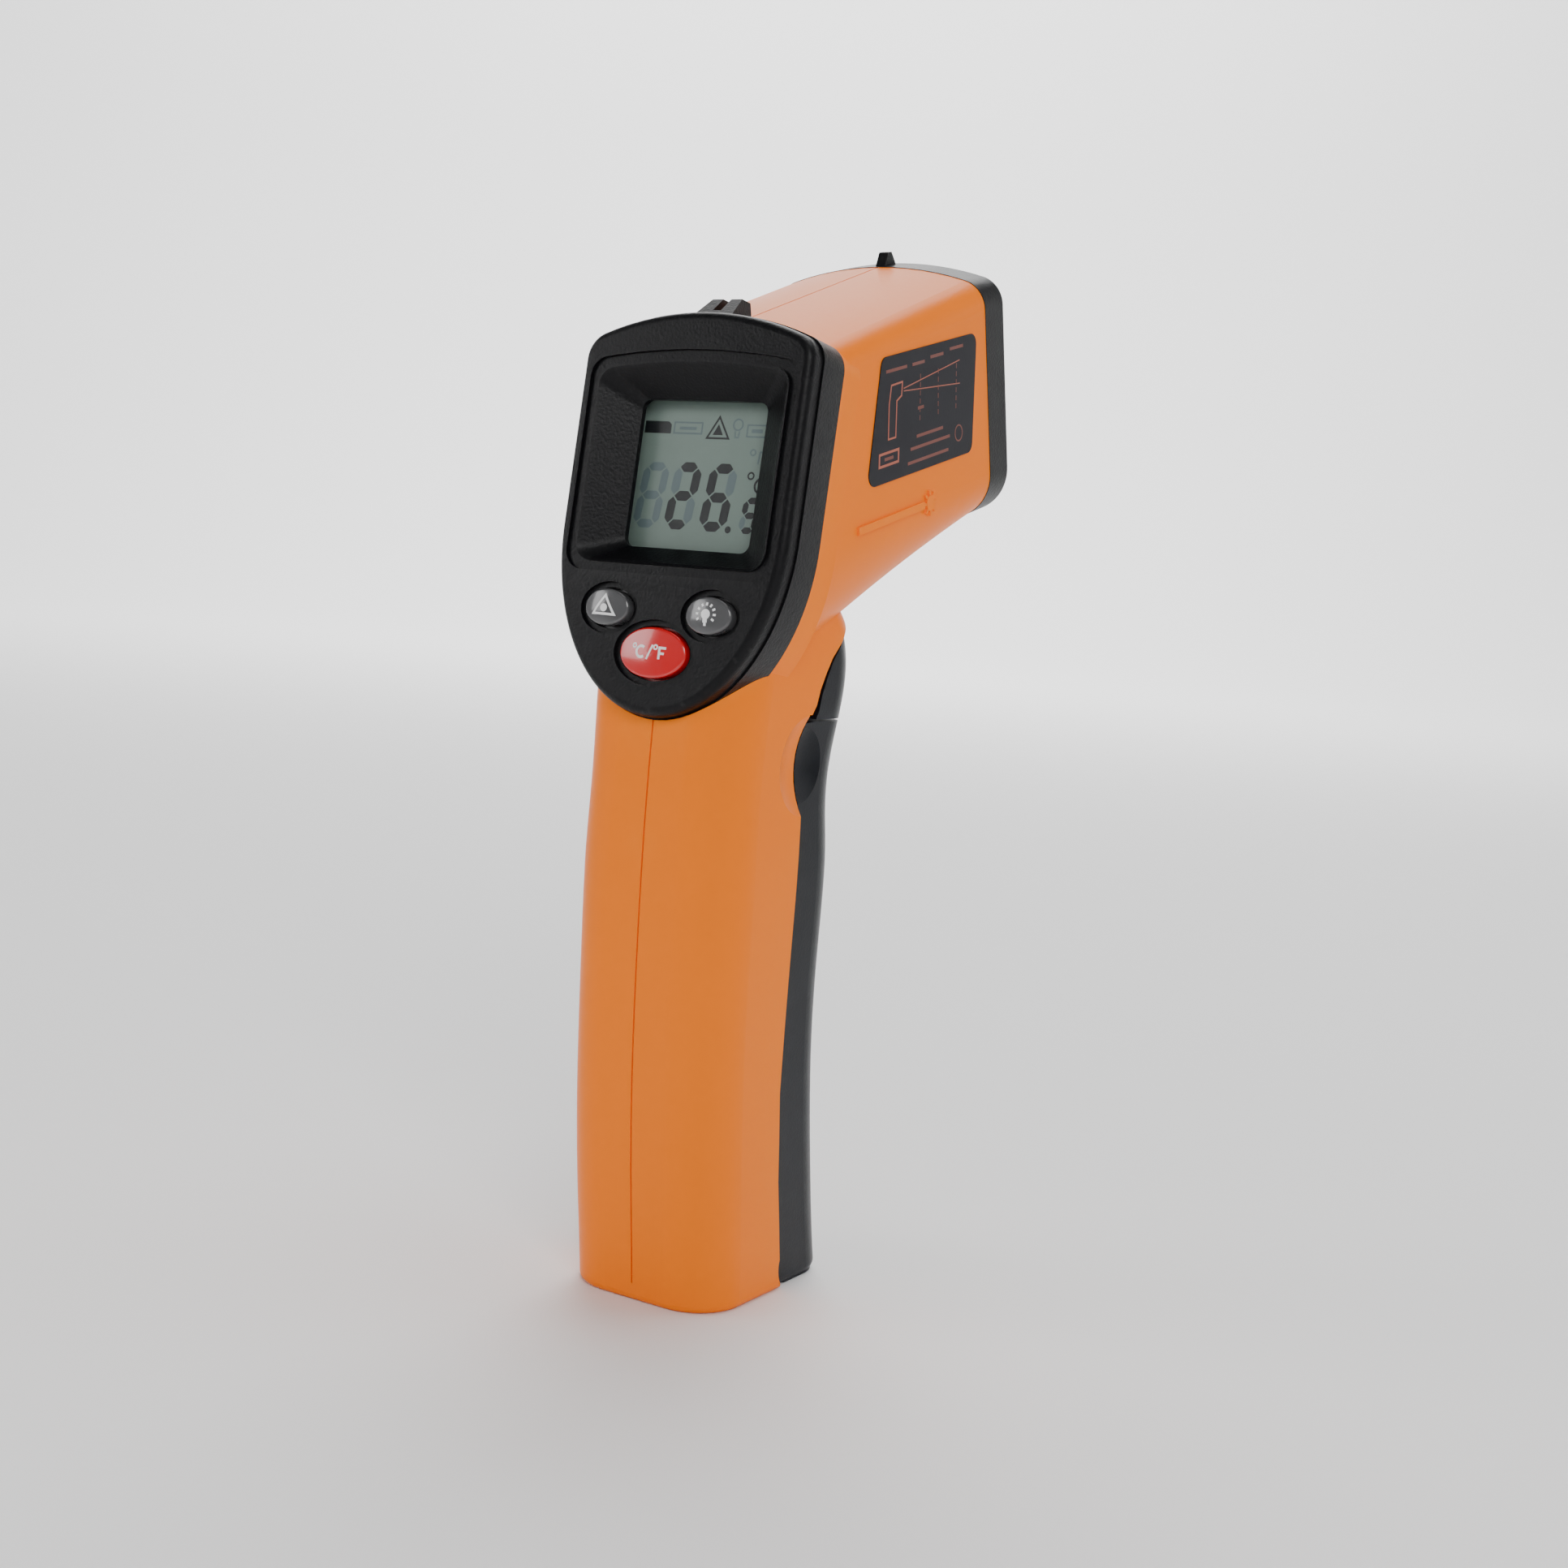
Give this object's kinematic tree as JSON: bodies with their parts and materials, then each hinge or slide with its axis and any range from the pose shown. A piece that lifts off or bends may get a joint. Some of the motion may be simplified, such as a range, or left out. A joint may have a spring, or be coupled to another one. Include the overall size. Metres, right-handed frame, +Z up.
{
  "type": "infrared thermometer",
  "caption": "Pistol-shaped infrared thermometer with a tilted display face, domed keys, a finger trigger and a hinged battery door down the front of its grip.",
  "frame": {"origin": "on the flat base of the grip, on the plane of symmetry, below the middle of the grip", "axes": "+Z up along the upright grip, +Y forward towards the nose, +X to the holder's right"},
  "size_m": [0.0424, 0.0782, 0.1738],
  "materials": {
    "orange_plastic": "satin moulded ABS",
    "black_plastic": "fine textured moulded ABS",
    "dark_grey_plastic": "satin moulded ABS",
    "zinc_steel": "plated",
    "clear_window": "clear acrylic",
    "lcd_panel": "reflective grey-green",
    "white_plastic": "plain",
    "grey_rubber": "soft",
    "grey_button": "glossy dome",
    "red_button": "glossy dome",
    "circuit_board": "solder mask",
    "black_component": "moulded",
    "switch_plunger": "moulded",
    "crystal_can": "polished",
    "milky_lens": "milky ribbed film",
    "brass": "turned",
    "lens_glass": "clear",
    "label_film": "printed polyester film",
    "cell_case": "printed sleeve",
    "lead_insulation": "flexible"
  },
  "bodies": {
    "body": {"battery_cell_left": "cell_case", "battery_cell_right": "cell_case", "battery_leads": "lead_insulation", "board_screws": "zinc_steel", "button_switch_bodies": "black_component", "contact_plates": "zinc_steel", "contact_springs": "zinc_steel", "display_window": "clear_window", "door_hinge_pin": "zinc_steel", "housing_left": "orange_plastic", "housing_right": "orange_plastic", "housing_screws": "zinc_steel", "infrared_lens": "milky_lens", "laser_barrel": "brass", "laser_holder": "white_plastic", "laser_lead": "lead_insulation", "laser_lens": "lens_glass", "lcd_backlight": "white_plastic", "lcd_contact_strips": "grey_rubber", "lcd_glass": "lcd_panel", "lens_ring": "black_component", "main_board": "circuit_board", "main_chip": "black_component", "nose_bezel": "black_plastic", "rear_bezel": "black_plastic", "sensor_board": "circuit_board", "sensor_tube": "black_component", "side_label_left": "label_film", "side_label_right": "label_film", "thermopile": "zinc_steel", "timing_crystal": "crystal_can", "trigger_board": "circuit_board", "trigger_pin": "zinc_steel", "trigger_spring": "zinc_steel", "trigger_switch_body": "black_component"},
    "trigger": {"trigger": "dark_grey_plastic"},
    "trigger_plunger": {"trigger_plunger": "switch_plunger"},
    "laser_button": {"laser_button": "grey_button", "laser_plunger": "switch_plunger"},
    "backlight_button": {"backlight_button": "grey_button", "backlight_plunger": "switch_plunger"},
    "unit_button": {"unit_button": "red_button", "unit_plunger": "switch_plunger"},
    "battery_door": {"battery_door": "dark_grey_plastic"}
  },
  "joints": [
    {"name": "trigger_pull", "type": "hinge", "parent": "body", "child": "trigger", "pos_m": [0, 0.01, 0.1172], "axis": [-1, 0, 0], "range_deg": [0, 5], "stiffness_Nm_per_rad": 0.6, "springref_deg": -5.73, "deforming": ["trigger_spring"]},
    {"name": "trigger_plunger_slide", "type": "slide", "parent": "body", "child": "trigger_plunger", "axis": [0, -1, 0], "range_m": [0, 0.0013]},
    {"name": "door_hinge", "type": "hinge", "parent": "body", "child": "battery_door", "pos_m": [0, 0.006, 0.0042], "axis": [-1, 0, 0], "range_deg": [0, 65]},
    {"name": "laser_press", "type": "slide", "parent": "body", "child": "laser_button", "axis": [0, 0.9928, -0.1201], "range_m": [0, 0.0008], "stiffness_N_per_m": 300, "springref_m": -0.0004},
    {"name": "backlight_press", "type": "slide", "parent": "body", "child": "backlight_button", "axis": [0, 0.9928, -0.1201], "range_m": [0, 0.0008], "stiffness_N_per_m": 300, "springref_m": -0.0004},
    {"name": "unit_press", "type": "slide", "parent": "body", "child": "unit_button", "axis": [0, 0.9928, -0.1201], "range_m": [0, 0.0008], "stiffness_N_per_m": 300, "springref_m": -0.0004}
  ],
  "couplings": [
    {"joint": "trigger_plunger_slide", "follows": "trigger_pull", "m_per_rad": 0.0137}
  ]
}
